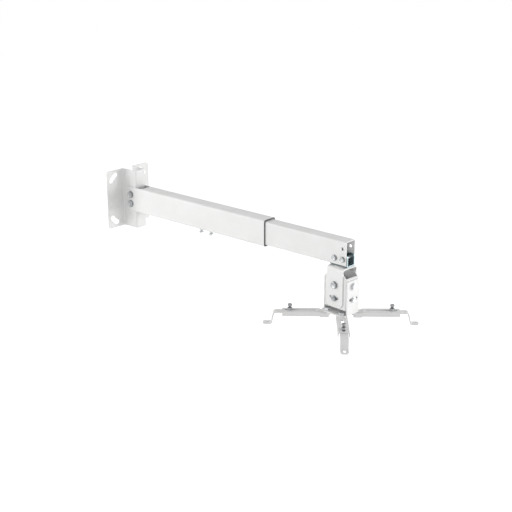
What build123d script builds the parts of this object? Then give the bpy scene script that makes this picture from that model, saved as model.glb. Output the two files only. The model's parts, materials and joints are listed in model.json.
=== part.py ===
from build123d import *
from math import atan2, cos, radians, sin, sqrt, tan
import os

os.makedirs("parts", exist_ok=True)

# A wall mount for a projector: a folded plate screws to the wall, a telescopic arm stands
# out from it, and a swivelling, tilting head at its end carries four slotted arms whose
# cranked feet take the screws in the underside of the projector.
# Frame: the wall is the plane X = 0, the arm runs along +X at Y = 0, Z = 0, and +Z is up.
# Lengths are in millimetres and angles in degrees.

# Wall plate, one folded sheet
plate_height = 140.0
plate_width = 133.0
plate_sheet = 2.5
plate_corner = 7.0
ridge_depth = 46.0
plate_bend = 2.0
levelling_circle = 70.0
levelling_slot_width = 12.0
levelling_slot_sweep = 15.0
levelling_slot_angles = (48.0, 132.0, 228.0, 312.0)

# Outer tube of the arm
outer_height = 60.0
outer_width = 36.0
outer_wall = 2.2
outer_corner = 4.5
outer_start = 17.0
outer_end = 448.0
cheek_corner = 8.0
cheek_clearance = 0.2
notch_past_ridge = 20.0
notch_corner = 6.0
root_bolt_x = 30.0
root_bolt_pitch = 22.0

# Plastic collar on the mouth of the outer tube
collar_length = 3.3
collar_clearance = 0.2

# Inner tube of the arm, which slides in the outer one with a little room all round
height_clearance = 1.3
width_clearance = 0.6
inner_wall = 2.0
inner_corner = 3.6
inner_start = 215.0
inner_end = 665.0
spare_hole_diameter = 7.0
spare_hole_back = 10.0
spare_hole_height = 9.8

# Lock screws under the outer tube
lock_screw_x = 245.0
lock_screw_pitch = 30.0
lock_screw_stand_off = 5.0
lock_tip_gap = 0.1

# Hanger inside the mouth of the inner tube
hanger_sheet = 3.0
hanger_side_clearance = 0.2
hanger_reach = 1.5
hanger_length = 44.0
hanger_top = -4.0
hanger_drop = 3.0
hanger_bend = 4.0
hanger_bolt_level = -12.5
hanger_bolt_pitch = 20.5
hanger_bolt_back = 9.0

# Swivel bolt, whose shank and head are shares of the room inside the hanger
swivel_back = 20.5
swivel_shank_share = 0.5
swivel_flats_share = 0.8
swivel_head_height = 6.4
swivel_nut_height = 8.0

# Yoke that swivels under the hanger; at rest the whole head stands turned by head_turn
head_turn = -5.0
friction_washer_inset = 0.2
friction_washer_thickness = 1.0
swivel_washer_diameter = 21.0
swivel_washer_thickness = 2.0
yoke_sheet = 2.5
yoke_width = 44.0
yoke_length = 43.6
yoke_bend = 6.0
yoke_height = 85.7
yoke_foot_corner = 11.0

# Joint box between the yoke and the lower bracket
side_gap = 0.3
box_sheet = 2.5
box_length = 59.0
box_corner = 4.0
box_rise = 26.0
box_drop = 50.5
box_shoulder = 11.0
tilt_axis_drop = 37.7
tilt_slot_radius = 29.3
tilt_slot_half_sweep = 19.0

# Lower bracket
bracket_sheet = 3.0
bracket_plate_width = 36.0
bracket_plate_rise = 12.7
bracket_plate_corner = 3.5
bracket_drop = 60.0
bracket_bend = 4.5
base_width = 57.0
base_corner = 8.0
base_bolt_inset = 9.2
relief_width = 2.2
relief_depth = 7.5

# Arms of the spider, measured from their own pivot bolts
arm_width = 25.0
arm_depth = 10.0
arm_sheet = 2.0
arm_bend = 0.5
arm_length = 93.0
arm_gap = 0.1
crank_start = 12.8
crank_length = 3.5
crank_bend = 3.0
crank_rise = 2.0
flange_back = 4.0
arm_slot_start = 21.0
arm_slot_inset = 5.0
arm_angles = (45.0, 135.0, 225.0, 315.0)

# Sliding feet, placed from the ends of the arms
strip_width = 17.0
strip_sheet = 2.5
strip_gap = 0.3
strip_bend = 4.0
strip_overlap = 30.0
strip_reach = 16.5
foot_reach = 40.0
foot_drop = 25.0
foot_lean = 5.0
foot_corner = 4.5
foot_slot_length = 14.0
foot_slot_width = 5.0
foot_slot_back = 4.0
clamp_inset = 16.0
clamp_head_diameter = 8.4
clamp_head_height = 4.2
clamp_stand = 13.0
slide_gap = 0.1

# Fasteners: shank, across flats, head height and nut height
m6 = (6.0, 10.0, 4.0, 5.0)
m8 = (8.0, 13.0, 5.3, 6.5)
hole_clearance = 0.1
running_fit = 0.05
thread_end = 2.0
hex_chamfer = 0.12

# Levels and places that follow from the sizes above
ridge_half = outer_width / 2 - outer_wall - cheek_clearance
notch_end = ridge_depth + notch_past_ridge
outer_length = outer_end - outer_start
inner_height = outer_height - 2 * outer_wall - 2 * height_clearance
inner_width = outer_width - 2 * outer_wall - 2 * width_clearance
inner_length = inner_end - inner_start
inner_bottom = -inner_height / 2
hanger_half = inner_width / 2 - inner_wall - hanger_side_clearance
hanger_middle = hanger_half - hanger_sheet
hanger_bottom = inner_bottom - hanger_drop
swivel_shank = 2 * hanger_middle * swivel_shank_share
swivel_flats = 2 * hanger_middle * swivel_flats_share
swivel_size = (swivel_shank, swivel_flats, swivel_head_height, swivel_nut_height)
friction_washer_diameter = inner_width - 2 * friction_washer_inset
swivel_x = inner_end - swivel_back
yoke_top = hanger_bottom - friction_washer_thickness
tilt_z = yoke_top - tilt_axis_drop
box_width = yoke_width - 2 * yoke_sheet - 2 * side_gap
bracket_half = box_length / 2 + side_gap + bracket_sheet
base_bolt_offset = box_length / 2 + side_gap - base_bolt_inset
base_top = tilt_z - bracket_drop
base_bottom = base_top - bracket_sheet
arm_root_top = base_bottom - arm_gap
arm_top = arm_root_top + crank_rise
strip_top = arm_top - arm_sheet - strip_gap
foot_top = strip_top - foot_drop
arm_slot_end = arm_length - arm_slot_inset
clamp_at = arm_length - clamp_inset
strip_inner = arm_length - strip_overlap
strip_crank = arm_length + strip_reach
foot_tip = arm_length + foot_reach


def hex_head(across_flats, height):
    """A chamfered hexagon head that stands on Z = 0."""
    corner = across_flats / sqrt(3)
    with BuildPart() as head:
        with BuildSketch():
            RegularPolygon(corner, 6, rotation=30)
        extrude(amount=height)
        with BuildSketch(Plane.XZ):
            with BuildLine():
                Polyline(
                    (0, 0),
                    (corner, 0),
                    (corner, height - hex_chamfer * across_flats / 2),
                    (across_flats / 2 * 0.94, height),
                    (0, height),
                    close=True,
                )
            make_face()
        revolve(axis=Axis.Z, mode=Mode.INTERSECT)
    return head.part


def hex_bolt(size, length):
    """A bolt whose head stands on Z = 0 and whose shank hangs below it."""
    diameter, across_flats, head_height, _ = size
    with BuildPart() as bolt:
        add(hex_head(across_flats, head_height))
        with BuildSketch():
            Circle(diameter / 2)
        extrude(amount=-length)
        chamfer(bolt.edges().sort_by(Axis.Z)[0], diameter / 10)
    return bolt.part


def hex_nut(size):
    """A nut that stands on Z = 0, bored to clear its own bolt."""
    diameter, across_flats, _, nut_height = size
    with BuildPart() as nut:
        add(hex_head(across_flats, nut_height))
        with BuildSketch():
            Circle(diameter / 2 + running_fit)
        extrude(amount=nut_height, mode=Mode.SUBTRACT)
    return nut.part


def side_plane(x, y, z, towards):
    """A plane that looks along Y, with its own X along the arm."""
    return Plane(origin=(x, y, z), x_dir=(1, 0, 0), z_dir=(0, towards, 0))


def end_plane(x, y, z, towards):
    """A plane that looks along X, with its own X across the arm."""
    return Plane(origin=(x, y, z), x_dir=(0, 1, 0), z_dir=(towards, 0, 0))


def flat_plane(x, y, z, towards):
    """A plane that looks up or down."""
    return Plane(origin=(x, y, z), x_dir=(1, 0, 0), z_dir=(0, 0, towards))


def place(shape, planes):
    """Copies of one fastener as a group of separate solids."""
    with BuildPart() as group:
        for plane in planes:
            add(plane.location * shape)
    return group.part


def save(part, name):
    part.label = name
    export_step(part, f"parts/{name}.step")


def save_on_head(part, name):
    """Turn a piece of the head about the swivel axis into its rest position."""
    to_axis = Location((-swivel_x, 0, 0))
    save(Location((swivel_x, 0, 0), (0, 0, head_turn)) * to_axis * part, name)


# Lines of the four arc slots that let the plate be levelled on its screws
levelling_lines = [
    CenterArc((0, 0), levelling_circle, angle - levelling_slot_sweep / 2, levelling_slot_sweep)
    for angle in levelling_slot_angles
]

# Wall plate: two flanges on the wall and a hollow ridge between them, bent from one strip
with BuildPart() as wall_plate:
    with BuildSketch(Plane.XY.offset(-plate_height / 2)):
        with BuildLine():
            FilletPolyline(
                (0, -plate_width / 2),
                (0, -ridge_half + plate_sheet),
                (ridge_depth - plate_sheet, -ridge_half + plate_sheet),
                (ridge_depth - plate_sheet, ridge_half - plate_sheet),
                (0, ridge_half - plate_sheet),
                (0, plate_width / 2),
                radius=(plate_bend + plate_sheet, plate_bend, plate_bend, plate_bend + plate_sheet),
            )
            offset(amount=plate_sheet, side=Side.RIGHT, kind=Kind.ARC)
        make_face()
    extrude(amount=plate_height)
    outer_corners = wall_plate.edges().filter_by(Axis.X).group_by(Axis.Y)
    fillet(outer_corners[0] + outer_corners[-1], plate_corner)
    with BuildSketch(Plane.YZ):
        for slot_line in levelling_lines:
            SlotArc(slot_line, levelling_slot_width)
    extrude(amount=plate_sheet, mode=Mode.SUBTRACT)
    with BuildSketch(Plane.XZ):
        with Locations((root_bolt_x, root_bolt_pitch / 2), (root_bolt_x, -root_bolt_pitch / 2)):
            Circle(m8[0] / 2 + hole_clearance)
    extrude(amount=plate_width, both=True, mode=Mode.SUBTRACT)
save(wall_plate.part, "wall_plate")

# Outer tube: its open root straddles the ridge, and its two cheeks are bolted through it
with BuildPart() as outer_tube:
    with BuildSketch(Plane.YZ.offset(outer_start)):
        RectangleRounded(outer_width, outer_height, outer_corner)
        RectangleRounded(
            outer_width - 2 * outer_wall,
            outer_height - 2 * outer_wall,
            outer_corner - outer_wall,
            mode=Mode.SUBTRACT,
        )
    extrude(amount=outer_length)
    with BuildSketch(Plane.XY):
        with Locations((notch_end, 0)):
            notch = Rectangle(
                2 * (notch_end - outer_start),
                outer_width - 2 * outer_wall,
                align=(Align.MAX, Align.CENTER),
            )
        fillet(notch.vertices().group_by(Axis.X)[-1], notch_corner)
    extrude(amount=outer_height, both=True, mode=Mode.SUBTRACT)
    with BuildSketch(Plane.XZ):
        with Locations((outer_start, 0)):
            side_view = Rectangle(outer_length, outer_height, align=(Align.MIN, Align.CENTER))
        fillet(side_view.vertices().group_by(Axis.X)[0], cheek_corner)
    extrude(amount=outer_width, both=True, mode=Mode.INTERSECT)
    with BuildSketch(Plane.XZ):
        with Locations((root_bolt_x, root_bolt_pitch / 2), (root_bolt_x, -root_bolt_pitch / 2)):
            Circle(m8[0] / 2 + hole_clearance)
    extrude(amount=outer_width, both=True, mode=Mode.SUBTRACT)
    with BuildSketch(Plane.XY):
        with Locations((lock_screw_x, 0), (lock_screw_x + lock_screw_pitch, 0)):
            Circle(m6[0] / 2 + hole_clearance)
    extrude(amount=-outer_height, mode=Mode.SUBTRACT)
save(outer_tube.part, "outer_tube")

# Collar: a plastic ring on the mouth of the outer tube, just clear of the inner one
with BuildPart() as mouth_collar:
    with BuildSketch(Plane.YZ.offset(outer_end)):
        RectangleRounded(outer_width, outer_height, outer_corner)
        RectangleRounded(
            inner_width + 2 * collar_clearance,
            inner_height + 2 * collar_clearance,
            inner_corner + collar_clearance,
            mode=Mode.SUBTRACT,
        )
    extrude(amount=collar_length)
save(mouth_collar.part, "mouth_collar")

# Root bolts, which go through both cheeks and both walls of the ridge
root_grip = outer_width
root_levels = (root_bolt_pitch / 2, -root_bolt_pitch / 2)
root_bolt = hex_bolt(m8, root_grip + m8[3] + thread_end)
root_bolts = place(root_bolt, [side_plane(root_bolt_x, -outer_width / 2, z, -1) for z in root_levels])
save(root_bolts, "root_bolts")
root_nuts = place(hex_nut(m8), [side_plane(root_bolt_x, outer_width / 2, z, 1) for z in root_levels])
save(root_nuts, "root_nuts")

# Lock screws, which run in nuts welded under the outer tube and press on the inner one
lock_places = (lock_screw_x, lock_screw_x + lock_screw_pitch)
lock_head_z = -outer_height / 2 - m6[3] - lock_screw_stand_off
lock_screw = hex_bolt(m6, inner_bottom - lock_tip_gap - lock_head_z)
lock_screws = place(lock_screw, [flat_plane(x, 0, lock_head_z, -1) for x in lock_places])
save(lock_screws, "lock_screws")
lock_nuts = place(hex_nut(m6), [flat_plane(x, 0, -outer_height / 2, -1) for x in lock_places])
save(lock_nuts, "lock_nuts")

# Inner tube: its floor is cut away at the mouth, where the hanger hangs through
hanger_bolt_x = inner_end - hanger_bolt_back - hanger_bolt_pitch
with BuildPart() as inner_tube:
    with BuildSketch(Plane.YZ.offset(inner_start)):
        RectangleRounded(inner_width, inner_height, inner_corner)
        RectangleRounded(
            inner_width - 2 * inner_wall,
            inner_height - 2 * inner_wall,
            inner_corner - inner_wall,
            mode=Mode.SUBTRACT,
        )
    extrude(amount=inner_length)
    with BuildSketch(Plane.XY):
        with Locations((inner_end - hanger_length, 0)):
            Rectangle(
                2 * hanger_length,
                inner_width - 2 * inner_wall,
                align=(Align.MIN, Align.CENTER),
            )
    extrude(amount=-inner_height, mode=Mode.SUBTRACT)
    with BuildSketch(Plane.XZ):
        with Locations(
            (hanger_bolt_x, hanger_bolt_level),
            (hanger_bolt_x + hanger_bolt_pitch, hanger_bolt_level),
        ):
            Circle(m6[0] / 2 + hole_clearance)
        with Locations((inner_end - spare_hole_back, spare_hole_height)):
            Circle(spare_hole_diameter / 2)
    extrude(amount=inner_width, both=True, mode=Mode.SUBTRACT)
save(inner_tube.part, "inner_tube")

# Hanger: a plated U whose cheeks are bolted inside the inner tube
hanger_front = inner_end + hanger_reach
with BuildPart() as hanger:
    with BuildSketch(Plane.YZ.offset(hanger_front)):
        with BuildLine():
            FilletPolyline(
                (-hanger_middle, hanger_top),
                (-hanger_middle, hanger_bottom + hanger_sheet),
                (hanger_middle, hanger_bottom + hanger_sheet),
                (hanger_middle, hanger_top),
                radius=hanger_bend - hanger_sheet,
            )
            offset(amount=hanger_sheet, side=Side.RIGHT, kind=Kind.ARC)
        make_face()
    extrude(amount=-hanger_length)
    upper_corners = hanger.edges().filter_by(Axis.Y).group_by(Axis.Z)[-1]
    fillet(upper_corners, hanger_bend)
    with BuildSketch(Plane.XZ):
        with Locations(
            (hanger_bolt_x, hanger_bolt_level),
            (hanger_bolt_x + hanger_bolt_pitch, hanger_bolt_level),
        ):
            Circle(m6[0] / 2 + hole_clearance)
    extrude(amount=inner_width, both=True, mode=Mode.SUBTRACT)
    with BuildSketch(Plane.XY.offset(hanger_bottom)):
        with Locations((swivel_x, 0)):
            Circle(swivel_shank / 2 + hole_clearance)
    extrude(amount=hanger_sheet, mode=Mode.SUBTRACT)
save(hanger.part, "hanger")

# Hanger bolts
hanger_places = (hanger_bolt_x, hanger_bolt_x + hanger_bolt_pitch)
hanger_bolt = hex_bolt(m6, inner_width + m6[3] + thread_end)
hanger_planes = [side_plane(x, -inner_width / 2, hanger_bolt_level, -1) for x in hanger_places]
save(place(hanger_bolt, hanger_planes), "hanger_bolts")
hanger_nut_planes = [side_plane(x, inner_width / 2, hanger_bolt_level, 1) for x in hanger_places]
save(place(hex_nut(m6), hanger_nut_planes), "hanger_nuts")

# Swivel: a bolt down through hanger and yoke, with a plastic friction washer between them
swivel_grip = hanger_sheet + friction_washer_thickness + yoke_sheet
swivel_bolt = hex_bolt(swivel_size, swivel_grip + swivel_washer_thickness + swivel_nut_height + thread_end)
swivel_head_plane = flat_plane(swivel_x, 0, hanger_bottom + hanger_sheet, 1)
save_on_head(place(swivel_bolt, [swivel_head_plane]), "swivel_bolt")
with BuildPart() as friction_washer:
    with BuildSketch(Plane.XY.offset(yoke_top)):
        with Locations((swivel_x, 0)):
            Circle(friction_washer_diameter / 2)
            Circle(swivel_shank / 2 + hole_clearance, mode=Mode.SUBTRACT)
    extrude(amount=friction_washer_thickness)
save_on_head(friction_washer.part, "friction_washer")
yoke_under = yoke_top - yoke_sheet
with BuildPart() as swivel_washer:
    with BuildSketch(Plane.XY.offset(yoke_under)):
        with Locations((swivel_x, 0)):
            Circle(swivel_washer_diameter / 2)
            Circle(swivel_shank / 2 + hole_clearance, mode=Mode.SUBTRACT)
    extrude(amount=-swivel_washer_thickness)
save_on_head(swivel_washer.part, "swivel_washer")
swivel_nut_plane = flat_plane(swivel_x, 0, yoke_under - swivel_washer_thickness, -1)
save_on_head(place(hex_nut(swivel_size), [swivel_nut_plane]), "swivel_nut")

# Line of the arc slots under both tilting axes
tilt_slot_line = CenterArc(
    (0, 0), tilt_slot_radius, -90 - tilt_slot_half_sweep, 2 * tilt_slot_half_sweep
)

# Yoke: an inverted U with a pivot hole and a lock slot in each side
yoke_middle = yoke_width / 2 - yoke_sheet
yoke_foot = yoke_top - yoke_height
with BuildPart() as top_yoke:
    with BuildSketch(Plane.YZ.offset(swivel_x)):
        with BuildLine():
            FilletPolyline(
                (-yoke_middle, yoke_foot),
                (-yoke_middle, yoke_under),
                (yoke_middle, yoke_under),
                (yoke_middle, yoke_foot),
                radius=yoke_bend - yoke_sheet,
            )
            offset(amount=yoke_sheet, side=Side.LEFT, kind=Kind.ARC)
        make_face()
    extrude(amount=yoke_length / 2, both=True)
    with BuildSketch(side_plane(swivel_x, 0, yoke_top - yoke_height / 2, -1)):
        outline = Rectangle(yoke_length, yoke_height)
        fillet(outline.vertices().group_by(Axis.Y)[0], yoke_foot_corner)
    extrude(amount=yoke_width, both=True, mode=Mode.INTERSECT)
    with BuildSketch(side_plane(swivel_x, 0, tilt_z, -1)):
        Circle(m8[0] / 2 + running_fit)
        SlotArc(tilt_slot_line, m6[0] + 2 * hole_clearance)
    extrude(amount=yoke_width, both=True, mode=Mode.SUBTRACT)
    with BuildSketch(Plane.XY.offset(yoke_top)):
        with Locations((swivel_x, 0)):
            Circle(swivel_shank / 2 + running_fit)
    extrude(amount=-yoke_sheet, mode=Mode.SUBTRACT)
save_on_head(top_yoke.part, "top_yoke")

# Joint box: a bent sleeve with shouldered sides, pivoted in the yoke and in the bracket
box_bottom = tilt_z - box_drop
box_top = tilt_z + box_rise
with BuildPart() as tilt_box:
    with BuildSketch(Plane.XY.offset(box_bottom)):
        with Locations((swivel_x, 0)):
            RectangleRounded(box_length, box_width, box_corner)
            RectangleRounded(
                box_length - 2 * box_sheet,
                box_width - 2 * box_sheet,
                box_corner - box_sheet,
                mode=Mode.SUBTRACT,
            )
    extrude(amount=box_top - box_bottom)
    with BuildSketch(side_plane(swivel_x, 0, box_top, -1)):
        for side in (-1, 1):
            with BuildLine():
                Polyline(
                    (side * (box_length / 2 - box_shoulder), 0),
                    (side * box_length / 2, -box_shoulder),
                    (side * box_length / 2, 0),
                    close=True,
                )
            make_face()
    extrude(amount=box_width, both=True, mode=Mode.SUBTRACT)
    with BuildSketch(side_plane(swivel_x, 0, tilt_z, -1)):
        Circle(m8[0] / 2 + hole_clearance)
        with Locations((0, -tilt_slot_radius)):
            Circle(m6[0] / 2 + hole_clearance)
    extrude(amount=box_width, both=True, mode=Mode.SUBTRACT)
    with BuildSketch(end_plane(swivel_x, 0, tilt_z, 1)):
        Circle(m8[0] / 2 + hole_clearance)
        with Locations((0, -tilt_slot_radius)):
            Circle(m6[0] / 2 + hole_clearance)
    extrude(amount=box_length, both=True, mode=Mode.SUBTRACT)
save_on_head(tilt_box.part, "tilt_box")

# Bolts of the two tilting axes: pivots in the middle of the box, lock bolts in the slots
tilt_grip = yoke_sheet + side_gap + box_sheet
roll_grip = bracket_sheet + side_gap + box_sheet
lock_z = tilt_z - tilt_slot_radius
box_inside_y = box_width / 2 - box_sheet
box_inside_x = box_length / 2 - box_sheet
tilt_pivot = hex_bolt(m8, tilt_grip + m8[3] + thread_end)
tilt_lock = hex_bolt(m6, tilt_grip + m6[3] + thread_end)
roll_pivot = hex_bolt(m8, roll_grip + m8[3] + thread_end)
roll_lock = hex_bolt(m6, roll_grip + m6[3] + thread_end)
sides = (-1, 1)
tilt_heads = [side_plane(swivel_x, s * (yoke_width / 2 + slide_gap), tilt_z, s) for s in sides]
tilt_lock_heads = [side_plane(swivel_x, s * (yoke_width / 2 + slide_gap), lock_z, s) for s in sides]
tilt_nut_faces = [side_plane(swivel_x, s * box_inside_y, tilt_z, -s) for s in sides]
tilt_lock_nut_faces = [side_plane(swivel_x, s * box_inside_y, lock_z, -s) for s in sides]
roll_heads = [end_plane(swivel_x + s * (bracket_half + slide_gap), 0, tilt_z, s) for s in sides]
roll_lock_heads = [end_plane(swivel_x + s * (bracket_half + slide_gap), 0, lock_z, s) for s in sides]
roll_nut_faces = [end_plane(swivel_x + s * box_inside_x, 0, tilt_z, -s) for s in sides]
roll_lock_nut_faces = [end_plane(swivel_x + s * box_inside_x, 0, lock_z, -s) for s in sides]
save_on_head(place(tilt_pivot, tilt_heads), "tilt_pivot_bolts")
save_on_head(place(hex_nut(m8), tilt_nut_faces), "tilt_pivot_nuts")
save_on_head(place(tilt_lock, tilt_lock_heads), "tilt_lock_bolts")
save_on_head(place(hex_nut(m6), tilt_lock_nut_faces), "tilt_lock_nuts")
save_on_head(place(roll_pivot, roll_heads), "roll_pivot_bolts")
save_on_head(place(hex_nut(m8), roll_nut_faces), "roll_pivot_nuts")
save_on_head(place(roll_lock, roll_lock_heads), "roll_lock_bolts")
save_on_head(place(hex_nut(m6), roll_lock_nut_faces), "roll_lock_nuts")

# Lower bracket: two upright plates over a wider base with relief cuts beside the bends
bracket_middle = bracket_half - bracket_sheet
bracket_top = tilt_z + bracket_plate_rise
with BuildPart() as base_bracket:
    with BuildSketch(side_plane(swivel_x, 0, 0, -1)):
        with BuildLine():
            FilletPolyline(
                (-bracket_middle, bracket_top),
                (-bracket_middle, base_top),
                (bracket_middle, base_top),
                (bracket_middle, bracket_top),
                radius=bracket_bend - bracket_sheet,
            )
            offset(amount=bracket_sheet, side=Side.RIGHT, kind=Kind.ARC)
        make_face()
    extrude(amount=bracket_plate_width / 2, both=True)
    upright_corners = base_bracket.edges().filter_by(Axis.X).group_by(Axis.Z)[-1]
    fillet(upright_corners, bracket_plate_corner)
    with BuildSketch(Plane.XY.offset(base_bottom)):
        with Locations((swivel_x, 0)):
            RectangleRounded(2 * bracket_half, base_width, base_corner)
            Rectangle(2 * bracket_half, bracket_plate_width, mode=Mode.SUBTRACT)
            Rectangle(2 * (bracket_half - relief_depth), base_width)
            for x_side in sides:
                for y_side in sides:
                    with Locations(
                        (x_side * (bracket_half - relief_depth / 2), y_side * (bracket_plate_width / 2))
                    ):
                        Rectangle(
                            relief_depth,
                            relief_width,
                            align=(Align.CENTER, Align.MIN if y_side > 0 else Align.MAX),
                            mode=Mode.SUBTRACT,
                        )
    extrude(amount=bracket_sheet)
    with BuildSketch(Plane.XY.offset(base_bottom)):
        with Locations((swivel_x, 0)):
            with GridLocations(2 * base_bolt_offset, 2 * base_bolt_offset, 2, 2):
                Circle(m8[0] / 2 + hole_clearance)
    extrude(amount=bracket_sheet, mode=Mode.SUBTRACT)
    with BuildSketch(end_plane(swivel_x, 0, tilt_z, 1)):
        Circle(m8[0] / 2 + running_fit)
        SlotArc(tilt_slot_line, m6[0] + 2 * hole_clearance)
    extrude(amount=2 * bracket_half, both=True, mode=Mode.SUBTRACT)
save_on_head(base_bracket.part, "base_bracket")

# Pivot bolts of the four arms
arm_bolt = hex_bolt(m8, bracket_sheet + arm_gap + arm_sheet + slide_gap + m8[3] + thread_end)
corners = [(x * base_bolt_offset, y * base_bolt_offset) for x in sides for y in sides]
arm_bolt_planes = [flat_plane(swivel_x + x, y, base_top, 1) for x, y in corners]
save_on_head(place(arm_bolt, arm_bolt_planes), "arm_bolts")
arm_nut_z = arm_root_top - arm_sheet - slide_gap
arm_nut_planes = [flat_plane(swivel_x + x, y, arm_nut_z, -1) for x, y in corners]
save_on_head(place(hex_nut(m8), arm_nut_planes), "arm_nuts")

# Arm, drawn along +X from its pivot bolt: a pressed channel, cranked up clear of the base
# beyond its round eye
arm_floor = arm_root_top - arm_depth
crank_end = crank_start + crank_length
crank_shift = arm_sheet * tan(atan2(crank_rise, crank_length) / 2)
with BuildPart() as arm_core:
    with BuildSketch(Plane.XZ):
        with BuildLine():
            FilletPolyline(
                (-arm_width, arm_root_top - arm_sheet),
                (crank_start + crank_shift, arm_root_top - arm_sheet),
                (crank_end + crank_shift, arm_top - arm_sheet),
                (arm_length + arm_width, arm_top - arm_sheet),
                (arm_length + arm_width, arm_floor - arm_width),
                (-arm_width, arm_floor - arm_width),
                radius=(crank_bend + arm_sheet, crank_bend, 0, 0),
            )
            Line((-arm_width, arm_floor - arm_width), (-arm_width, arm_root_top - arm_sheet))
        make_face()
    extrude(amount=arm_width / 2 - arm_sheet, both=True)
    core_edges = arm_core.edges().filter_by(lambda edge: abs(edge.center().Y) > 1)
    fillet(core_edges.filter_by(lambda edge: edge.center().Z > arm_root_top - arm_sheet - 0.01), arm_bend)
with BuildPart() as arm:
    with BuildSketch(Plane.XZ):
        with BuildLine():
            FilletPolyline(
                (-flange_back, arm_root_top),
                (crank_start, arm_root_top),
                (crank_end, arm_top),
                (arm_length, arm_top),
                (arm_length, arm_top - arm_depth),
                (crank_end, arm_top - arm_depth),
                (crank_start, arm_floor),
                (-flange_back, arm_floor),
                radius=(crank_bend, crank_bend + arm_sheet, 0, 0, crank_bend, crank_bend),
            )
            Line((-flange_back, arm_floor), (-flange_back, arm_root_top))
        make_face()
    extrude(amount=arm_width / 2, both=True)
    side_edges = arm.edges().filter_by(lambda edge: abs(edge.center().Y) > 1)
    fillet(side_edges.filter_by(lambda edge: edge.center().Z > arm_root_top - 0.01), arm_bend + arm_sheet)
    with BuildSketch(Plane.XY.offset(arm_floor)):
        Circle(arm_width / 2)
        Rectangle(arm_length, arm_width, align=(Align.MIN, Align.CENTER))
    extrude(amount=arm_depth + crank_rise, mode=Mode.INTERSECT)
    add(arm_core.part, mode=Mode.SUBTRACT)
    with BuildSketch(Plane.XY.offset(arm_root_top)):
        Circle(arm_width / 2)
        with Locations((-flange_back, 0)):
            Rectangle(arm_width, 2 * arm_width, align=(Align.MIN, Align.CENTER), mode=Mode.SUBTRACT)
    extrude(amount=-arm_sheet)
    with BuildSketch(Plane.XY.offset(arm_floor)):
        Circle(m8[0] / 2 + running_fit)
        with Locations(((arm_slot_start + arm_slot_end) / 2, 0)):
            SlotOverall(arm_slot_end - arm_slot_start, m6[0] + 4 * hole_clearance)
    extrude(amount=arm_depth + crank_rise, mode=Mode.SUBTRACT)

# Foot: a flat strip that slides in the channel, cranked down to a slotted foot
with BuildPart() as foot:
    with BuildSketch(Plane.XZ):
        with BuildLine():
            FilletPolyline(
                (strip_inner, strip_top - strip_sheet),
                (strip_crank, strip_top - strip_sheet),
                (strip_crank + foot_lean, foot_top - strip_sheet),
                (foot_tip, foot_top - strip_sheet),
                radius=(strip_bend, strip_bend + strip_sheet),
            )
            offset(amount=strip_sheet, side=Side.LEFT, kind=Kind.ARC)
        make_face()
    extrude(amount=strip_width / 2, both=True)
    fillet(foot.edges().filter_by(Axis.Z), foot_corner)
    with BuildSketch(Plane.XY.offset(strip_top)):
        with Locations((clamp_at, 0)):
            Circle(m6[0] / 2 + hole_clearance)
    extrude(amount=-strip_sheet, mode=Mode.SUBTRACT)
    with BuildSketch(Plane.XY.offset(foot_top)):
        with Locations((foot_tip - foot_slot_back - foot_slot_length / 2, 0)):
            SlotOverall(foot_slot_length, foot_slot_width)
    extrude(amount=-strip_sheet, mode=Mode.SUBTRACT)

# Clamp screw: a round head on a long neck, screwed into a square nut under the strip
head_under = arm_top + clamp_stand - clamp_head_height
shank_bottom = strip_top - strip_sheet - m6[3] - thread_end
with BuildPart() as clamp_screw:
    with BuildSketch(Plane.XY.offset(head_under)):
        with Locations((clamp_at, 0)):
            Circle(clamp_head_diameter / 2)
    extrude(amount=clamp_head_height)
    chamfer(clamp_screw.edges().group_by(Axis.Z)[-1], clamp_head_height / 4)
    with BuildSketch(Plane.XY.offset(shank_bottom)):
        with Locations((clamp_at, 0)):
            Circle(m6[0] / 2)
    extrude(amount=head_under - shank_bottom)
with BuildPart() as square_nut:
    with BuildSketch(Plane.XY.offset(strip_top - strip_sheet)):
        with Locations((clamp_at, 0)):
            Rectangle(m6[1], m6[1])
            Circle(m6[0] / 2 + running_fit, mode=Mode.SUBTRACT)
    extrude(amount=-m6[3])
lock_nut = place(hex_nut(m6), [flat_plane(clamp_at, 0, arm_top + slide_gap, 1)])

# The four arms of the spider stand on the diagonals of the base
bolt_circle = sqrt(2) * base_bolt_offset
for number, angle in enumerate(arm_angles, start=1):
    pivot_x = swivel_x + bolt_circle * cos(radians(angle))
    pivot_y = bolt_circle * sin(radians(angle))
    turned = Plane(Location((pivot_x, pivot_y, 0), (0, 0, angle)))
    save_on_head(place(arm.part, [turned]), f"arm_{number}")
    save_on_head(place(foot.part, [turned]), f"foot_{number}")
    save_on_head(place(clamp_screw.part, [turned]), f"clamp_screw_{number}")
    save_on_head(place(lock_nut, [turned]), f"clamp_lock_nut_{number}")
    save_on_head(place(square_nut.part, [turned]), f"clamp_square_nut_{number}")
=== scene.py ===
import json
import math

import bpy
from mathutils import Matrix, Vector


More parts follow.
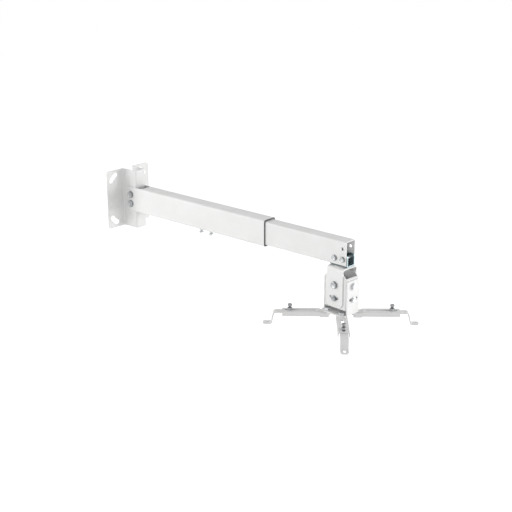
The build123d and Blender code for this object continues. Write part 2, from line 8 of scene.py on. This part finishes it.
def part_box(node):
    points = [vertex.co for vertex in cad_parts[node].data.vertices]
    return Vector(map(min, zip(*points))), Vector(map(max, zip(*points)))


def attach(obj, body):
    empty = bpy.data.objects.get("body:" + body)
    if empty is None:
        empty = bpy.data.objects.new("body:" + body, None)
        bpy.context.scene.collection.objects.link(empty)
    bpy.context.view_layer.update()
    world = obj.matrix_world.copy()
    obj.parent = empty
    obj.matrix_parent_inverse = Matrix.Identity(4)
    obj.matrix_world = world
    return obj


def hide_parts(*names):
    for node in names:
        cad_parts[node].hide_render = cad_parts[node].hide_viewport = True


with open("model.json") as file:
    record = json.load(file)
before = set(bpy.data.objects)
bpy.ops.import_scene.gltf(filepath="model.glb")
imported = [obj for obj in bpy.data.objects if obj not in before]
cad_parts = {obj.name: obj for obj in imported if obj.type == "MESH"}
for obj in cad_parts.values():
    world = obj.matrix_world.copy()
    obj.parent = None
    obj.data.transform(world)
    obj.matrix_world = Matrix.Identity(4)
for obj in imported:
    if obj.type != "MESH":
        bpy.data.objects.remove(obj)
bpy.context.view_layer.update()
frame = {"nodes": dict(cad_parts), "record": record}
bpy.ops.object.select_all(action="DESELECT")

# The photograph's view, in metres and degrees
AIM = Vector((0.40963, 0.0, -0.06336))
AZIMUTH = math.radians(41.28)
ELEVATION = math.radians(18.67)
DISTANCE = 2.4114
LENS = 77.34
SENSOR = 36.0

# Fasteners, in millimetres, by the model's own values: thread radius, pitch, flats, head height
M6 = (3.0, 1.0, 10.0, 4.0)
M8 = (4.0, 1.25, 13.0, 5.3)
M10 = (5.0, 1.5, 16.0, 6.4)
CLAMP_SCREW = (3.0, 1.0, 8.4 * 0.94, 4.2)

# Bolts, in millimetres: size, depth from the seat to the tip, and the radius of the washer.
# The lower bracket is thicker than the yoke, so the bolts in it are longer by the extra.
ROOT_BOLT = (M8, 44.5, 8.3)
HANGER_BOLT = (M6, 37.4, 6.4)
SWIVEL_BOLT = (M10, 18.5, None)
PIVOT_BOLT = (M8, 13.8, 7.9)
LOCK_BOLT = (M6, 12.3, 6.4)
ARM_BOLT = (M8, 13.7, None)
ROLL_BOLT_EXTRA = 0.5

# Finishes of a bolt and its washer: as most are; darker ones, on the tilt lock bolts; and a paler
# zinc, painted light on bolts that sit in shade or in strong light
STEEL_TONES = ("bolt_steel", "washer_steel")
DARK_TONES = ("washer_steel", "washer_steel")
PAINTED_LIGHT_TONES = ("painted_light_zinc", "painted_light_zinc")

# Threads: depth and width of the ridge as shares of the pitch, the ridge's reach into the core
# as a share of the depth, and its crest as a share of its width
THREAD_DEPTH = 0.6
THREAD_WIDTH = 0.86
THREAD_REACH = 1.2
THREAD_CREST = 0.16
STEPS_PER_TURN = 20

# Shanks and washers, in millimetres. The thread covers the nut, taken as high as the head, and
# this much more; cylinders that meet run into each other by an overlap.
THREAD_PAST_NUT = 5.0
OVERLAP = 0.5
SEAT_OVERLAP = 0.2
TIP_CHAMFER = 0.4
SHANK_CHAMFER = 0.3
ROOT_CHAMFER = 0.2
WASHER_THICKNESS = 1.0
WASHER_PLAY = 0.2
WASHER_RIM = 0.15

# Hexagon heads: the chamfer's flat top and the dish in it as shares of the flats, and how much
# wider the chamfer gets for each millimetre down
BLANK_EXTRA = 1.0
CHAMFER_TOP = 0.47
CHAMFER_SPREAD = 1.73
DISH_RIM = 0.06
DISH_SLOPE = 0.05
DISH_DEPTH = 0.03

# Where the fasteners sit, in millimetres
ROOT_BOLT_X = 30.0
ROOT_BOLT_LEVELS = (11.0, -11.0)
OUTER_SIDE = 18.0
OUTER_BOTTOM = -30.0
LOCK_SCREWS_X = (245.0, 275.0)
INNER_SIDE = 15.2
HANGER_BOLTS_X = (635.5, 656.0)
HANGER_BOLT_Z = -12.5
SWIVEL_X = 644.5
SWIVEL_SEAT = -26.5
HEAD_TURN = math.radians(-5.0)
YOKE_SIDE = 22.1
BRACKET_SIDE = 32.9
PIVOT_Z = -68.2
LOCK_Z = -97.5
ARM_BOLT_OFFSET = 20.6
BASE_TOP = -128.2

# Weld rings, in millimetres, with the ripples' share of each step and their swelling
WELD_RADIUS = 6.0
WELD_BEAD = 1.1
WELD_RIPPLES = 18
RIPPLE_SHARE = 0.1
RIPPLE_SWELL = (1.035, 1.035, 1.12)

# The collar's lip, in millimetres; its outline is smaller than the model's collar by the trim
LIP_THICKNESS = 1.2
LIP_TRIM = 0.6
LIP_CORNER = 4.4
LIP_WIDTH = 2.4
LIP_RIM = 0.3

FEET = (1, 2, 3, 4)
SMOOTH_BELOW = math.radians(35.0)

# Floor and light: sizes in metres, azimuth and elevation in degrees
FLOOR_SIZE = 12.0
FLOOR_PLACE = (0.4, 0.0, -0.62)
FLOOR_GLOW = 0.55
SKY_LIGHT = 0.64
LAMPS = (
    # name, azimuth, elevation, distance, size, watts
    ("left", -42.0, 8.0, 3.0, 1.4, 34.0),
    ("right", 126.0, 5.0, 1.8, 0.9, 16.0),
    ("front", 35.0, 0.0, 3.5, 1.5, 10.0),
)

scene = bpy.context.scene
scene.view_settings.view_transform = "Standard"


def direction(azimuth, elevation):
    """From the object towards a point seen at that azimuth and elevation."""
    flat = math.cos(elevation)
    return Vector((math.sin(azimuth) * flat, -math.cos(azimuth) * flat, math.sin(elevation)))


def set_camera():
    """The camera of the photograph."""
    data = bpy.data.cameras.new("photo_view")
    data.lens = LENS
    data.sensor_width = SENSOR
    data.clip_end = 50.0
    camera = bpy.data.objects.new("photo_view", data)
    scene.collection.objects.link(camera)
    back = direction(AZIMUTH, ELEVATION)
    camera.location = AIM + back * DISTANCE
    camera.rotation_euler = (-back).to_track_quat("-Z", "Y").to_euler()
    scene.camera = camera


def node_input(node, name, value):
    """Sets one input of a node."""
    node.inputs[name].default_value = value


def new_group(name, inputs, outputs):
    """A shader node group with its sockets, and its input and output nodes."""
    group = bpy.data.node_groups.new(name, "ShaderNodeTree")
    for socket, kind, value in inputs:
        made = group.interface.new_socket(socket, in_out="INPUT", socket_type=kind)
        if value is not None:
            made.default_value = value
    for socket, kind in outputs:
        group.interface.new_socket(socket, in_out="OUTPUT", socket_type=kind)
    return group, group.nodes.new("NodeGroupInput"), group.nodes.new("NodeGroupOutput")


def coat_grain():
    """Orange peel of a powder coat, with thin dust and rubs: a height and a mask."""
    group, entry, leave = new_group(
        "coat_grain",
        [("Peel Size", "NodeSocketFloat", 900.0), ("Dust Size", "NodeSocketFloat", 24.0)],
        [("Height", "NodeSocketFloat"), ("Dust", "NodeSocketFloat")],
    )
    place = group.nodes.new("ShaderNodeTexCoord")
    peel = group.nodes.new("ShaderNodeTexNoise")
    node_input(peel, "Detail", 2.0)
    node_input(peel, "Roughness", 0.45)
    dust = group.nodes.new("ShaderNodeTexNoise")
    node_input(dust, "Detail", 5.0)
    node_input(dust, "Roughness", 0.6)
    spread = group.nodes.new("ShaderNodeMapRange")
    node_input(spread, "From Min", 0.38)
    node_input(spread, "From Max", 0.72)
    link = group.links.new
    link(place.outputs["Object"], peel.inputs["Vector"])
    link(place.outputs["Object"], dust.inputs["Vector"])
    link(entry.outputs["Peel Size"], peel.inputs["Scale"])
    link(entry.outputs["Dust Size"], dust.inputs["Scale"])
    link(dust.outputs["Fac"], spread.inputs["Value"])
    link(peel.outputs["Fac"], leave.inputs["Height"])
    link(spread.outputs["Result"], leave.inputs["Dust"])
    return group


def plated_grain():
    """Fine drawn lines and clouding of a plated steel surface."""
    group, entry, leave = new_group(
        "plated_grain",
        [("Line Size", "NodeSocketFloat", 700.0), ("Cloud Size", "NodeSocketFloat", 60.0)],
        [("Lines", "NodeSocketFloat"), ("Clouds", "NodeSocketFloat")],
    )
    place = group.nodes.new("ShaderNodeTexCoord")
    stretch = group.nodes.new("ShaderNodeMapping")
    node_input(stretch, "Scale", (1.0, 1.0, 0.08))
    lines = group.nodes.new("ShaderNodeTexNoise")
    node_input(lines, "Detail", 3.0)
    clouds = group.nodes.new("ShaderNodeTexNoise")
    node_input(clouds, "Detail", 4.0)
    link = group.links.new
    link(place.outputs["Object"], stretch.inputs["Vector"])
    link(stretch.outputs["Vector"], lines.inputs["Vector"])
    link(place.outputs["Object"], clouds.inputs["Vector"])
    link(entry.outputs["Line Size"], lines.inputs["Scale"])
    link(entry.outputs["Cloud Size"], clouds.inputs["Scale"])
    link(lines.outputs["Fac"], leave.inputs["Lines"])
    link(clouds.outputs["Fac"], leave.inputs["Clouds"])
    return group


def new_material(name):
    """A material with its node tree and its Principled shader."""
    material = bpy.data.materials.new(name)
    material.use_nodes = True
    tree = material.node_tree
    return material, tree, tree.nodes["Principled BSDF"]


def place_group(tree, group, **values):
    """A node group placed in a material, with its own values."""
    node = tree.nodes.new("ShaderNodeGroup")
    node.node_tree = group
    for name, value in values.items():
        node.inputs[name.replace("_", " ")].default_value = value
    return node


def mix_colour(tree, mask, low, high):
    """A colour that runs from low to high with the mask."""
    mix = tree.nodes.new("ShaderNodeMix")
    mix.data_type = "RGBA"
    mix.inputs["A"].default_value = (*low, 1.0)
    mix.inputs["B"].default_value = (*high, 1.0)
    tree.links.new(mask, mix.inputs["Factor"])
    return mix.outputs["Result"]


def mix_value(tree, mask, low, high):
    """A value that runs from low to high with the mask."""
    ramp = tree.nodes.new("ShaderNodeMapRange")
    node_input(ramp, "To Min", low)
    node_input(ramp, "To Max", high)
    tree.links.new(mask, ramp.inputs["Value"])
    return ramp.outputs["Result"]


def add_bump(tree, shader, height, strength, distance):
    """Raises a shader's surface by a height."""
    bump = tree.nodes.new("ShaderNodeBump")
    node_input(bump, "Strength", strength)
    node_input(bump, "Distance", distance)
    tree.links.new(height, bump.inputs["Height"])
    tree.links.new(bump.outputs["Normal"], shader.inputs["Normal"])


def powder_coat(name, group, light, dusty):
    """A satin powder coat, duller where the dust lies."""
    material, tree, shader = new_material(name)
    grain = place_group(tree, group, Peel_Size=900.0, Dust_Size=24.0)
    dust = grain.outputs["Dust"]
    tree.links.new(mix_colour(tree, dust, light, dusty), shader.inputs["Base Color"])
    tree.links.new(mix_value(tree, dust, 0.36, 0.48), shader.inputs["Roughness"])
    add_bump(tree, shader, grain.outputs["Height"], 0.12, 0.0002)
    return material


def plated_steel(name, group, light, dark, smooth, rough):
    """Plated steel, clouded from dark to light, with fine drawn lines."""
    material, tree, shader = new_material(name)
    node_input(shader, "Metallic", 1.0)
    grain = place_group(tree, group, Line_Size=700.0, Cloud_Size=60.0)
    clouds = grain.outputs["Clouds"]
    tree.links.new(mix_colour(tree, clouds, dark, light), shader.inputs["Base Color"])
    lines = grain.outputs["Lines"]
    tree.links.new(mix_value(tree, lines, smooth, rough), shader.inputs["Roughness"])
    add_bump(tree, shader, lines, 0.08, 0.0001)
    return material


def moulded_plastic(name, group, colour, rubbed, smooth, rough):
    """Plastic with the fine spark grain of its mould, rubbed a little paler in places."""
    material, tree, shader = new_material(name)
    grain = place_group(tree, group, Peel_Size=2200.0, Dust_Size=70.0)
    dust = grain.outputs["Dust"]
    tree.links.new(mix_colour(tree, dust, colour, rubbed), shader.inputs["Base Color"])
    tree.links.new(mix_value(tree, dust, smooth, rough), shader.inputs["Roughness"])
    add_bump(tree, shader, grain.outputs["Height"], 0.25, 0.0001)
    return material


def make_finishes():
    """The finishes by name: a white coat and a darker painted-shade copy of it, five steels of
    which one is a paler painted-light zinc, and two plastics.
    """
    coat = coat_grain()
    plate = plated_grain()
    finishes = {}
    for name, light, dusty in (
        ("white_coat", (0.80, 0.80, 0.795), (0.77, 0.77, 0.762)),
        # painted shade: the arms' and feet's coat is the white coat made darker, for the dimmer
        # light on them
        ("arm_coat", (0.765, 0.768, 0.763), (0.73, 0.733, 0.725)),
    ):
        finishes[name] = powder_coat(name.replace("coat", "powder_coat"), coat, light, dusty)
    for name, light, dark, smooth, rough in (
        ("zinc_plate", (0.38, 0.46, 0.48), (0.27, 0.34, 0.36), 0.3, 0.45),
        ("bolt_steel", (0.50, 0.51, 0.52), (0.34, 0.35, 0.36), 0.4, 0.58),
        # painted light: a paler copy of bolt_steel, lifting bolts that sit in shade or take strong
        # light
        ("painted_light_zinc", (0.70, 0.71, 0.72), (0.56, 0.57, 0.58), 0.4, 0.58),
        ("washer_steel", (0.34, 0.35, 0.36), (0.22, 0.23, 0.24), 0.4, 0.6),
        ("black_steel", (0.34, 0.34, 0.35), (0.17, 0.17, 0.175), 0.25, 0.4),
    ):
        finishes[name] = plated_steel(name, plate, light, dark, smooth, rough)
    for name, colour, rubbed, smooth, rough in (
        ("black_plastic", (0.06, 0.06, 0.062), (0.10, 0.10, 0.102), 0.38, 0.5),
        ("nylon", (0.72, 0.72, 0.69), (0.66, 0.66, 0.62), 0.42, 0.55),
    ):
        finishes[name] = moulded_plastic(name, coat, colour, rubbed, smooth, rough)
    return finishes


def dress_nodes(finishes):
    """Gives each CAD node the finish of its slot; the arms and feet get a darker copy of the white
    coat, painted shade for the dimmer light on their sides.
    """
    slots = {part["node"]: part["material_slot"] for part in frame["record"]["subparts"]}
    for name, node in frame["nodes"].items():
        finish = slots[name]
        # painted shade: arms and feet take the darker copy of the white coat
        if finish == "white_coat" and name.startswith(("arm_", "foot_")):
            finish = "arm_coat"
        node.data.materials.clear()
        node.data.materials.append(finishes[finish])


def millimetres(*values):
    return [value / 1000.0 for value in values]


def pick(piece, kind, wanted):
    """Selects the faces, edges or vertices that answer a test, and leaves edit mode on."""
    bpy.ops.object.select_all(action="DESELECT")
    piece.select_set(True)
    bpy.context.view_layer.objects.active = piece
    bpy.ops.object.mode_set(mode="EDIT")
    bpy.ops.mesh.select_mode(type=kind)
    bpy.ops.mesh.select_all(action="DESELECT")
    bpy.ops.object.mode_set(mode="OBJECT")
    items = {"FACE": piece.data.polygons, "EDGE": piece.data.edges, "VERT": piece.data.vertices}
    for item in items[kind]:
        item.select = wanted(item)
    bpy.ops.object.mode_set(mode="EDIT")


def leave_edit():
    """Ends what pick began."""
    bpy.ops.object.mode_set(mode="OBJECT")


def settle():
    """Puts the active piece's place, turn and scale into its mesh."""
    bpy.ops.object.transform_apply(location=True, rotation=True, scale=True)
    return bpy.context.object


def join(pieces):
    """Makes one piece of several."""
    bpy.ops.object.select_all(action="DESELECT")
    for piece in pieces:
        piece.select_set(True)
    bpy.context.view_layer.objects.active = pieces[0]
    bpy.ops.object.join()
    return bpy.context.object


def upright_cylinder(radius, low, high, vertices):
    """A cylinder round the Z axis, in millimetres."""
    bpy.ops.mesh.primitive_cylinder_add(
        vertices=vertices,
        radius=radius / 1000.0,
        depth=(high - low) / 1000.0,
        location=millimetres(0.0, 0.0, (low + high) / 2),
    )
    return settle()


def bevel_rims(piece, width, segments):
    """Softens the rims of a piece's flat ends, which look up and down."""
    pick(piece, "FACE", lambda face: abs(face.normal.z) > 0.9)
    bpy.ops.mesh.region_to_loop()
    bpy.ops.mesh.bevel(offset=width / 1000.0, segments=segments, affect="EDGES")
    leave_edit()


def thread_ridge(radius, pitch, low, high):
    """The helical ridge of a thread, a small wedge wound up round the Z axis."""
    wide = THREAD_REACH * THREAD_DEPTH * pitch
    middle = radius - wide / 2
    start = low + 0.5 * pitch
    bpy.ops.mesh.primitive_plane_add(
        size=1.0, rotation=(math.pi / 2, 0.0, 0.0), location=millimetres(middle, 0.0, start)
    )
    ridge = bpy.context.object
    ridge.scale = (wide / 1000.0, THREAD_WIDTH * pitch / 1000.0, 1.0)
    settle()
    pick(ridge, "VERT", lambda vertex: vertex.co.x > middle / 1000.0)
    bpy.ops.transform.resize(
        value=(1.0, 1.0, THREAD_CREST), center_override=millimetres(radius, 0.0, start)
    )
    bpy.ops.mesh.select_mode(type="FACE")
    bpy.ops.mesh.select_all(action="SELECT")
    bpy.ops.mesh.delete(type="ONLY_FACE")
    leave_edit()
    helix = ridge.modifiers.new("thread", "SCREW")
    helix.axis = "Z"
    helix.screw_offset = pitch / 1000.0
    helix.iterations = int((high - low) / pitch) - 1
    helix.steps = helix.render_steps = STEPS_PER_TURN
    bpy.ops.object.modifier_apply(modifier="thread")
    pick(ridge, "VERT", lambda vertex: True)
    bpy.ops.mesh.remove_doubles(threshold=1e-7)
    bpy.ops.mesh.fill_holes(sides=0)
    bpy.ops.mesh.select_all(action="SELECT")
    bpy.ops.mesh.normals_make_consistent(inside=False)
    leave_edit()
    return ridge


def threaded_shank(size, length, threaded):
    """A shank that hangs below Z = 0, threaded over the given length up from its tip."""
    radius, pitch, _, _ = size
    core = radius - THREAD_DEPTH * pitch
    tip = upright_cylinder(core, -length, threaded - length + OVERLAP, 24)
    bevel_rims(tip, TIP_CHAMFER, 1)
    parts = [tip, thread_ridge(radius, pitch, -length, threaded - length)]
    if threaded < length:
        plain = upright_cylinder(radius, threaded - length, SEAT_OVERLAP, 32)
        bevel_rims(plain, SHANK_CHAMFER, 1)
        parts.append(plain)
    return join(parts)


def hexagon_head(flats, low, high):
    """A hexagon with the turned chamfer of a real head, and a shallow dish in its top."""
    head = upright_cylinder(flats / math.sqrt(3), low, high + BLANK_EXTRA, 6)
    height = high - low + BLANK_EXTRA
    flat_top = CHAMFER_TOP * flats
    bpy.ops.mesh.primitive_cone_add(
        vertices=48,
        radius1=(flat_top + CHAMFER_SPREAD * height) / 1000.0,
        radius2=flat_top / 1000.0,
        depth=height / 1000.0,
        location=millimetres(0.0, 0.0, high - height / 2),
    )
    blank = settle()
    cut = head.modifiers.new("chamfer", "BOOLEAN")
    cut.operation = "INTERSECT"
    cut.object = blank
    bpy.ops.object.select_all(action="DESELECT")
    bpy.context.view_layer.objects.active = head
    bpy.ops.object.modifier_apply(modifier="chamfer")
    put_away(blank)
    pick(head, "FACE", lambda face: face.normal.z > 0.99)
    bpy.ops.mesh.inset(thickness=DISH_RIM * flats / 1000.0)
    bpy.ops.mesh.inset(
        thickness=DISH_SLOPE * flats / 1000.0, depth=-DISH_DEPTH * flats / 1000.0
    )
    leave_edit()
    return head


def washer(size, outer):
    """A flat washer with soft rims, standing on Z = 0."""
    ring = upright_cylinder(outer, 0.0, WASHER_THICKNESS, 48)
    pick(ring, "FACE", lambda face: abs(face.normal.z) > 0.9)
    width = outer - size[0] - WASHER_PLAY
    bpy.ops.mesh.inset(thickness=width / 1000.0, use_individual=True)
    bpy.ops.mesh.bridge_edge_loops()
    leave_edit()
    bevel_rims(ring, WASHER_RIM, 2)
    return ring


def bolt(size, length, threaded, seat):
    """A hexagon bolt: its head starts at the seat's height above Z = 0, its shank hangs below."""
    shank = threaded_shank(size, length, threaded)
    root = upright_cylinder(size[0], 0.0, seat + OVERLAP, 32)
    bevel_rims(root, ROOT_CHAMFER, 1)
    return join([hexagon_head(size[2], seat, size[3]), root, shank])


def weld_bead(radius, bead):
    """A ring of weld laid in ripples, cut flat where it meets the tube at Z = 0."""
    bpy.ops.mesh.primitive_torus_add(
        major_radius=radius / 1000.0,
        minor_radius=bead / 1000.0,
        major_segments=54,
        minor_segments=12,
    )
    ring = settle()
    step = math.tau / WELD_RIPPLES

    def on_ripple(vertex):
        angle = math.atan2(vertex.co.y, vertex.co.x) % step
        return min(angle, step - angle) < RIPPLE_SHARE * step

    pick(ring, "VERT", on_ripple)
    bpy.ops.transform.resize(value=RIPPLE_SWELL, center_override=(0.0, 0.0, 0.0))
    bpy.ops.mesh.select_all(action="SELECT")
    bpy.ops.mesh.bisect(
        plane_co=(0.0, 0.0, 0.0), plane_no=(0.0, 0.0, 1.0), use_fill=True, clear_outer=True
    )
    leave_edit()
    return ring


def copy_to(model, name, place):
    """A copy of a model with its own mesh, moved to its place."""
    mesh = model.data.copy()
    mesh.transform(place)
    mesh.name = name
    piece = bpy.data.objects.new(name, mesh)
    scene.collection.objects.link(piece)
    return piece


def dress(piece, body, slot, finish, *replaced):
    """Finishes a piece and puts it on its body, in place of the nodes that it replaces."""
    piece.data.materials.clear()
    piece.data.materials.append(finish)
    bpy.ops.object.select_all(action="DESELECT")
    piece.select_set(True)
    bpy.context.view_layer.objects.active = piece
    bpy.ops.object.shade_smooth_by_angle(angle=SMOOTH_BELOW)
    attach(piece, body)
    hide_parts(*replaced)
    piece.select_set(False)


def put_away(model):
    """Takes a model away once its copies are made."""
    bpy.data.objects.remove(model, do_unlink=True)


def facing(point, towards):
    """A place at a point in millimetres, with Z turned towards a direction."""
    turn = Vector(towards).to_track_quat("Z", "Y").to_matrix().to_4x4()
    return Matrix.Translation(Vector(millimetres(*point))) @ turn


def on_head(point, towards):
    """A place measured from the swivel axis, turned with the head."""
    centre = Matrix.Translation(Vector(millimetres(SWIVEL_X, 0.0, 0.0)))
    return centre @ Matrix.Rotation(HEAD_TURN, 4, "Z") @ facing(point, towards)


def make_bolts(finishes, node, body, kind, places, tones=STEEL_TONES):
    """Bolts of one kind in place of a node of the model, each on its washer if it has one."""
    size, depth, washer_outer = kind
    head_tone, washer_tone = tones
    threaded = min(depth, size[3] + THREAD_PAST_NUT)
    seat = WASHER_THICKNESS if washer_outer else 0.0
    model = bolt(size, depth, threaded, seat)
    ring = washer(size, washer_outer) if washer_outer else None
    for number, place in enumerate(places, start=1):
        piece = copy_to(model, f"threaded_{node}_{number}", place)
        dress(piece, body, "bolt_steel", finishes[head_tone], node)
        if ring:
            flat = copy_to(ring, f"{node}_washer_{number}", place)
            dress(flat, body, "bolt_steel", finishes[washer_tone])
    put_away(model)
    if ring:
        put_away(ring)


def make_arm_bolts(finishes):
    """The bolts through the tubes: two at the wall and two that hold the hanger."""
    near = (0.0, -1.0, 0.0)
    root = [facing((ROOT_BOLT_X, -OUTER_SIDE, level), near) for level in ROOT_BOLT_LEVELS]
    make_bolts(finishes, "root_bolts", "arm_root", ROOT_BOLT, root)
    hanger = [facing((x, -INNER_SIDE, HANGER_BOLT_Z), near) for x in HANGER_BOLTS_X]
    make_bolts(finishes, "hanger_bolts", "slider", HANGER_BOLT, hanger)


def make_head_bolts(finishes):
    """The swivel bolt, a pivot and a lock bolt in each side of the head, and the arms' bolts."""
    swivel = on_head((0.0, 0.0, SWIVEL_SEAT), (0.0, 0.0, 1.0))
    make_bolts(finishes, "swivel_bolt", "yoke", SWIVEL_BOLT, [swivel])
    sides = (-1.0, 1.0)
    for use, kind, level, tones in (
        ("pivot", PIVOT_BOLT, PIVOT_Z, STEEL_TONES),
        # darker tones: the tilt lock bolts take the washers' darker steel
        ("lock", LOCK_BOLT, LOCK_Z, DARK_TONES),
    ):
        tilt = [on_head((0.0, side * YOKE_SIDE, level), (0.0, side, 0.0)) for side in sides]
        make_bolts(finishes, f"tilt_{use}_bolts", "joint_box", kind, tilt, tones)
        size, depth, washer_outer = kind
        longer = (size, depth + ROLL_BOLT_EXTRA, washer_outer)
        roll = [on_head((side * BRACKET_SIDE, 0.0, level), (side, 0.0, 0.0)) for side in sides]
        # painted light: the roll bolts get the paler zinc for the strong light on the front plate
        make_bolts(finishes, f"roll_{use}_bolts", "joint_box", longer, roll, PAINTED_LIGHT_TONES)
    offset = ARM_BOLT_OFFSET
    corners = [(x * offset, y * offset, BASE_TOP) for x in sides for y in sides]
    base = [on_head(corner, (0.0, 0.0, 1.0)) for corner in corners]
    # painted light: the arm bolts sit in shade and get the paler zinc to lift it
    make_bolts(finishes, "arm_bolts", "lower_bracket", ARM_BOLT, base, PAINTED_LIGHT_TONES)


def make_lock_screws(finishes):
    """The lock screws under the outer tube, and the welds that hold their nuts."""
    low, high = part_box("lock_screws")
    depth = (high[2] - low[2]) * 1000.0 - M6[3]
    seat = low[2] * 1000.0 + M6[3]
    down = (0.0, 0.0, -1.0)
    places = [facing((x, 0.0, seat), down) for x in LOCK_SCREWS_X]
    model = bolt(M6, depth, depth, 0.0)
    for number, place in enumerate(places, start=1):
        piece = copy_to(model, f"threaded_lock_screw_{number}", place)
        # painted light: the lock screws get the paler zinc against the dark they reflect under the
        # tube
        dress(piece, "arm_root", "bolt_steel", finishes["painted_light_zinc"], "lock_screws")
    put_away(model)
    model = weld_bead(WELD_RADIUS, WELD_BEAD)
    for number, x in enumerate(LOCK_SCREWS_X, start=1):
        place = Matrix.Translation(Vector(millimetres(x, 0.0, OUTER_BOTTOM)))
        piece = copy_to(model, f"nut_weld_{number}", place)
        dress(piece, "arm_root", "white_coat", finishes["white_coat"])
    put_away(model)


def make_clamp_screws(finishes):
    """The hexagon screws that clamp the feet in their arms."""
    head_height = CLAMP_SCREW[3]
    low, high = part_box("clamp_screw_1")
    depth = (high[2] - low[2]) * 1000.0 - head_height
    model = bolt(CLAMP_SCREW, depth, depth, 0.0)
    for number in FEET:
        low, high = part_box(f"clamp_screw_{number}")
        seat = high[2] - head_height / 1000.0
        middle = Vector(((low[0] + high[0]) / 2, (low[1] + high[1]) / 2, seat))
        piece = copy_to(model, f"threaded_clamp_screw_{number}", Matrix.Translation(middle))
        node = f"clamp_screw_{number}"
        dress(piece, f"foot_slider_{number}", "black_steel", finishes["black_steel"], node)
    put_away(model)


def make_collar(finishes):
    """The thin plastic lip pressed on the outer tube's mouth, round the inner tube; its black is
    partly painted shadow, standing in for the shade in the gap between the tubes.
    """
    low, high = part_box("mouth_collar")
    lip = LIP_THICKNESS / 1000.0
    trim = LIP_TRIM / 1000.0
    bpy.ops.mesh.primitive_cube_add(size=1.0)
    collar = bpy.context.object
    collar.scale = (lip, high[1] - low[1] - trim, high[2] - low[2] - trim)
    collar.location = (low[0] + lip / 2, 0.0, (low[2] + high[2]) / 2)
    settle()

    def along_arm(edge):
        first, last = (collar.data.vertices[number].co for number in edge.vertices)
        return abs(first.x - last.x) > lip / 2

    pick(collar, "EDGE", along_arm)
    bpy.ops.mesh.bevel(offset=LIP_CORNER / 1000.0, segments=8, affect="EDGES")
    leave_edit()
    pick(collar, "FACE", lambda face: abs(face.normal.x) > 0.9)
    bpy.ops.mesh.inset(thickness=LIP_WIDTH / 1000.0, use_individual=True)
    bpy.ops.mesh.bridge_edge_loops()
    leave_edit()
    pick(collar, "FACE", lambda face: abs(face.normal.x) > 0.9)
    bpy.ops.mesh.region_to_loop()
    bpy.ops.mesh.bevel(offset=LIP_RIM / 1000.0, segments=3, affect="EDGES")
    leave_edit()
    piece = copy_to(collar, "collar_lip_and_painted_shadow", Matrix.Identity(4))
    put_away(collar)
    # partly painted shadow: the black lip also stands in for the shade of the gap at the mouth
    dress(piece, "arm_root", "black_plastic", finishes["black_plastic"], "mouth_collar")


def seen_white(tree):
    """A mask that is 1 for the rays that meet plain white: to the eye, in gloss, through glass."""
    rays = tree.nodes.new("ShaderNodeLightPath")
    mask = rays.outputs["Is Camera Ray"]
    for kind in ("Is Glossy Ray", "Is Transmission Ray"):
        either = tree.nodes.new("ShaderNodeMath")
        either.operation = "MAXIMUM"
        tree.links.new(mask, either.inputs[0])
        tree.links.new(rays.outputs[kind], either.inputs[1])
        mask = either.outputs[0]
    return mask


def white_surface(name, glow):
    """A pale surface that glows enough to be seen as plain white."""
    material, tree, shader = new_material(name)
    node_input(shader, "Base Color", (0.85, 0.85, 0.85, 1.0))
    node_input(shader, "Roughness", 0.9)
    node_input(shader, "Emission Color", (1.0, 1.0, 1.0, 1.0))
    strength = tree.nodes.new("ShaderNodeMath")
    strength.operation = "MULTIPLY"
    strength.inputs[1].default_value = glow
    tree.links.new(seen_white(tree), strength.inputs[0])
    tree.links.new(strength.outputs[0], shader.inputs["Emission Strength"])
    return material


def make_floor():
    """The plain floor that the light falls on, well below the mount."""
    bpy.ops.mesh.primitive_plane_add(size=FLOOR_SIZE, location=FLOOR_PLACE)
    floor = bpy.context.object
    floor.name = "floor"
    floor.data.materials.append(white_surface("floor_white", FLOOR_GLOW))
    bpy.ops.object.select_all(action="DESELECT")


def make_world(strength):
    """A plain sky of that strength, which is seen as white."""
    world = bpy.data.worlds.new("plain_sky")
    scene.world = world
    world.use_nodes = True
    tree = world.node_tree
    tree.nodes.clear()
    sky = tree.nodes.new("ShaderNodeBackground")
    node_input(sky, "Color", (1.0, 1.0, 1.0, 1.0))
    end = tree.nodes.new("ShaderNodeOutputWorld")
    tree.links.new(mix_value(tree, seen_white(tree), strength, 1.0), sky.inputs["Strength"])
    tree.links.new(sky.outputs["Background"], end.inputs["Surface"])


def add_lamp(name, azimuth, elevation, distance, size, watts):
    """A square soft lamp that looks at the aim."""
    data = bpy.data.lights.new(name, "AREA")
    data.energy = watts
    data.size = size
    lamp = bpy.data.objects.new(name, data)
    scene.collection.objects.link(lamp)
    towards = direction(math.radians(azimuth), math.radians(elevation))
    lamp.location = AIM + towards * distance
    lamp.rotation_euler = (-towards).to_track_quat("-Z", "Y").to_euler()


set_camera()
finishes = make_finishes()
dress_nodes(finishes)
make_arm_bolts(finishes)
make_head_bolts(finishes)
make_lock_screws(finishes)
make_clamp_screws(finishes)
make_collar(finishes)
make_floor()
make_world(SKY_LIGHT)
for lamp in LAMPS:
    add_lamp(*lamp)
